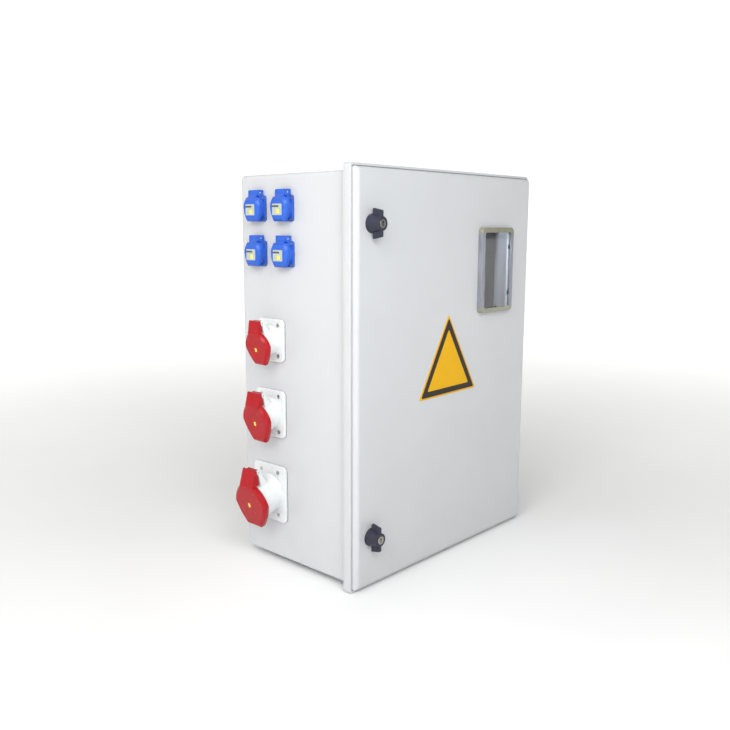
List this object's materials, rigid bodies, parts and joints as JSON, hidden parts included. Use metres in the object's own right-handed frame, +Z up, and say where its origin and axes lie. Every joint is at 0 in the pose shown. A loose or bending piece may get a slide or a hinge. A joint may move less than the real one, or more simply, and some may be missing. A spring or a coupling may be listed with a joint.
{
  "type": "power distribution box",
  "caption": "Free-standing power distribution box with a windowed hinged door, locking knobs, and lidded domestic and industrial sockets on one side wall.",
  "frame": {"origin": "middle of the whole box's footprint on the standing plane, sockets and knobs included", "axes": "+X to the right along the front, +Y from the door towards the back wall, +Z up"},
  "size_m": [0.6216, 0.3294, 0.75],
  "materials": {
    "grey_polyester": "smooth moulded, light grey, low gloss",
    "black_rubber": "matt elastomer",
    "zinc_steel": "bright zinc plated",
    "spring_steel": "bright drawn",
    "smoky_plastic": "clear moulded, slightly smoky",
    "clear_pane": "clear polycarbonate",
    "yellow_plate": "semi-gloss",
    "black_plastic": "fine-textured moulding",
    "nickel": "satin nickel",
    "blue_plastic": "glossy moulding",
    "red_plastic": "glossy moulding",
    "white_plastic": "glossy moulding",
    "dark_insert": "moulded thermoset",
    "brass": "machined",
    "dark_laminate": "pressed laminate sheet",
    "duct_plastic": "extruded",
    "device_plastic": "moulded, satin",
    "toggle_plastic": "moulded, satin",
    "yellow_button": "moulded",
    "gland_plastic": "moulded polyamide"
  },
  "bodies": {
    "enclosure": {"body_shell": "grey_polyester", "rubber_feet": "black_rubber", "hinge_brackets": "zinc_steel", "domestic_socket_1": "blue_plastic", "domestic_socket_2": "blue_plastic", "domestic_socket_3": "blue_plastic", "domestic_socket_4": "blue_plastic", "industrial_socket_16": "white_plastic", "industrial_socket_32": "white_plastic", "industrial_socket_63": "white_plastic", "lid_hinge_pins": "spring_steel", "lid_springs": "spring_steel", "socket_screws": "zinc_steel", "socket_gaskets": "black_rubber", "socket_contacts": "brass", "industrial_inserts": "dark_insert", "mounting_plate": "zinc_steel", "spacer_posts": "zinc_steel", "rail_uprights": "zinc_steel", "cover_panel": "dark_laminate", "panel_screws": "zinc_steel", "din_rail": "zinc_steel", "terminal_bars": "brass", "cable_duct": "duct_plastic", "residual_current_switch": "device_plastic", "single_pole_breakers": "device_plastic", "three_pole_breakers": "device_plastic", "cable_gland": "gland_plastic", "gland_cap_nut": "gland_plastic", "gland_lock_nut": "gland_plastic"},
    "door": {"door_shell": "grey_polyester", "door_gasket": "black_rubber", "hinge_pins": "zinc_steel", "window_frame": "smoky_plastic", "window_pane": "clear_pane", "window_clips": "spring_steel", "front_plate": "yellow_plate", "lock_bushes": "black_plastic"},
    "knob_upper": {"knob_upper": "black_plastic", "cam_upper": "zinc_steel"},
    "barrel_upper": {"lock_barrel_upper": "nickel"},
    "knob_lower": {"knob_lower": "black_plastic", "cam_lower": "zinc_steel"},
    "barrel_lower": {"lock_barrel_lower": "nickel"},
    "domestic_lid_1": {"domestic_lid_1": "blue_plastic"},
    "domestic_lid_2": {"domestic_lid_2": "blue_plastic"},
    "domestic_lid_3": {"domestic_lid_3": "blue_plastic"},
    "domestic_lid_4": {"domestic_lid_4": "blue_plastic"},
    "industrial_lid_16": {"industrial_lid_16": "red_plastic"},
    "industrial_lid_32": {"industrial_lid_32": "red_plastic"},
    "industrial_lid_63": {"industrial_lid_63": "red_plastic"},
    "single_pole_toggle_1": {"single_pole_toggle_1": "toggle_plastic"},
    "single_pole_toggle_2": {"single_pole_toggle_2": "toggle_plastic"},
    "single_pole_toggle_3": {"single_pole_toggle_3": "toggle_plastic"},
    "single_pole_toggle_4": {"single_pole_toggle_4": "toggle_plastic"},
    "three_pole_toggle_1": {"three_pole_toggle_1": "toggle_plastic"},
    "three_pole_toggle_2": {"three_pole_toggle_2": "toggle_plastic"},
    "three_pole_toggle_3": {"three_pole_toggle_3": "toggle_plastic"},
    "residual_toggle": {"residual_toggle": "blue_plastic"},
    "test_button": {"test_button": "yellow_button"}
  },
  "joints": [
    {"name": "door_hinge", "type": "hinge", "parent": "enclosure", "child": "door", "pos_m": [0.2731, -0.1305, 0.375], "axis": [0, 0, 1], "range_deg": [0, 105]},
    {"name": "knob_upper_turn", "type": "hinge", "parent": "door", "child": "knob_upper", "pos_m": [-0.2149, -0.1395, 0.651], "axis": [0, 1, 0], "range_deg": [0, 90]},
    {"name": "barrel_upper_turn", "type": "hinge", "parent": "knob_upper", "child": "barrel_upper", "pos_m": [-0.2149, -0.1645, 0.651], "axis": [0, 1, 0], "range_deg": [0, 90]},
    {"name": "knob_lower_turn", "type": "hinge", "parent": "door", "child": "knob_lower", "pos_m": [-0.2149, -0.1395, 0.099], "axis": [0, 1, 0], "range_deg": [0, 90]},
    {"name": "barrel_lower_turn", "type": "hinge", "parent": "knob_lower", "child": "barrel_lower", "pos_m": [-0.2149, -0.1645, 0.099], "axis": [0, 1, 0], "range_deg": [0, 90]},
    {"name": "domestic_lid_1_hinge", "type": "hinge", "parent": "enclosure", "child": "domestic_lid_1", "pos_m": [-0.2549, 0.0398, 0.706], "axis": [0, 1, 0], "range_deg": [0, 110], "stiffness_Nm_per_rad": 0.02, "springref_deg": -28.65},
    {"name": "domestic_lid_2_hinge", "type": "hinge", "parent": "enclosure", "child": "domestic_lid_2", "pos_m": [-0.2549, 0.114, 0.706], "axis": [0, 1, 0], "range_deg": [0, 110], "stiffness_Nm_per_rad": 0.02, "springref_deg": -28.65},
    {"name": "domestic_lid_3_hinge", "type": "hinge", "parent": "enclosure", "child": "domestic_lid_3", "pos_m": [-0.2549, 0.0398, 0.6245], "axis": [0, 1, 0], "range_deg": [0, 110], "stiffness_Nm_per_rad": 0.02, "springref_deg": -28.65},
    {"name": "domestic_lid_4_hinge", "type": "hinge", "parent": "enclosure", "child": "domestic_lid_4", "pos_m": [-0.2549, 0.114, 0.6245], "axis": [0, 1, 0], "range_deg": [0, 110], "stiffness_Nm_per_rad": 0.02, "springref_deg": -28.65},
    {"name": "industrial_lid_16_hinge", "type": "hinge", "parent": "enclosure", "child": "industrial_lid_16", "pos_m": [-0.28156, 0.0805, 0.47127], "axis": [0, 1, 0], "range_deg": [0, 110], "stiffness_Nm_per_rad": 0.06, "springref_deg": -40.11},
    {"name": "industrial_lid_32_hinge", "type": "hinge", "parent": "enclosure", "child": "industrial_lid_32", "pos_m": [-0.28171, 0.0849, 0.3368], "axis": [0, 1, 0], "range_deg": [0, 110], "stiffness_Nm_per_rad": 0.06, "springref_deg": -40.11},
    {"name": "industrial_lid_63_hinge", "type": "hinge", "parent": "enclosure", "child": "industrial_lid_63", "pos_m": [-0.2928, 0.0899, 0.19031], "axis": [0, 1, 0], "range_deg": [0, 110], "stiffness_Nm_per_rad": 0.06, "springref_deg": -40.11},
    {"name": "single_pole_toggle_1_rock", "type": "hinge", "parent": "enclosure", "child": "single_pole_toggle_1", "pos_m": [-0.10205, -0.071, 0.56], "axis": [1, 0, 0], "range_deg": [0, 70]},
    {"name": "single_pole_toggle_2_rock", "type": "hinge", "parent": "enclosure", "child": "single_pole_toggle_2", "pos_m": [-0.08405, -0.071, 0.56], "axis": [1, 0, 0], "range_deg": [0, 70]},
    {"name": "single_pole_toggle_3_rock", "type": "hinge", "parent": "enclosure", "child": "single_pole_toggle_3", "pos_m": [-0.06605, -0.071, 0.56], "axis": [1, 0, 0], "range_deg": [0, 70]},
    {"name": "single_pole_toggle_4_rock", "type": "hinge", "parent": "enclosure", "child": "single_pole_toggle_4", "pos_m": [-0.04805, -0.071, 0.56], "axis": [1, 0, 0], "range_deg": [0, 70]},
    {"name": "three_pole_toggle_1_rock", "type": "hinge", "parent": "enclosure", "child": "three_pole_toggle_1", "pos_m": [-0.01205, -0.071, 0.56], "axis": [1, 0, 0], "range_deg": [0, 70]},
    {"name": "three_pole_toggle_2_rock", "type": "hinge", "parent": "enclosure", "child": "three_pole_toggle_2", "pos_m": [0.04195, -0.071, 0.56], "axis": [1, 0, 0], "range_deg": [0, 70]},
    {"name": "three_pole_toggle_3_rock", "type": "hinge", "parent": "enclosure", "child": "three_pole_toggle_3", "pos_m": [0.09595, -0.071, 0.56], "axis": [1, 0, 0], "range_deg": [0, 70]},
    {"name": "residual_toggle_rock", "type": "hinge", "parent": "enclosure", "child": "residual_toggle", "pos_m": [0.14495, -0.071, 0.56], "axis": [1, 0, 0], "range_deg": [0, 70]},
    {"name": "test_button_press", "type": "slide", "parent": "enclosure", "child": "test_button", "axis": [0, 1, 0], "range_m": [0, 0.0015], "stiffness_N_per_m": 400, "springref_m": -0.002}
  ]
}
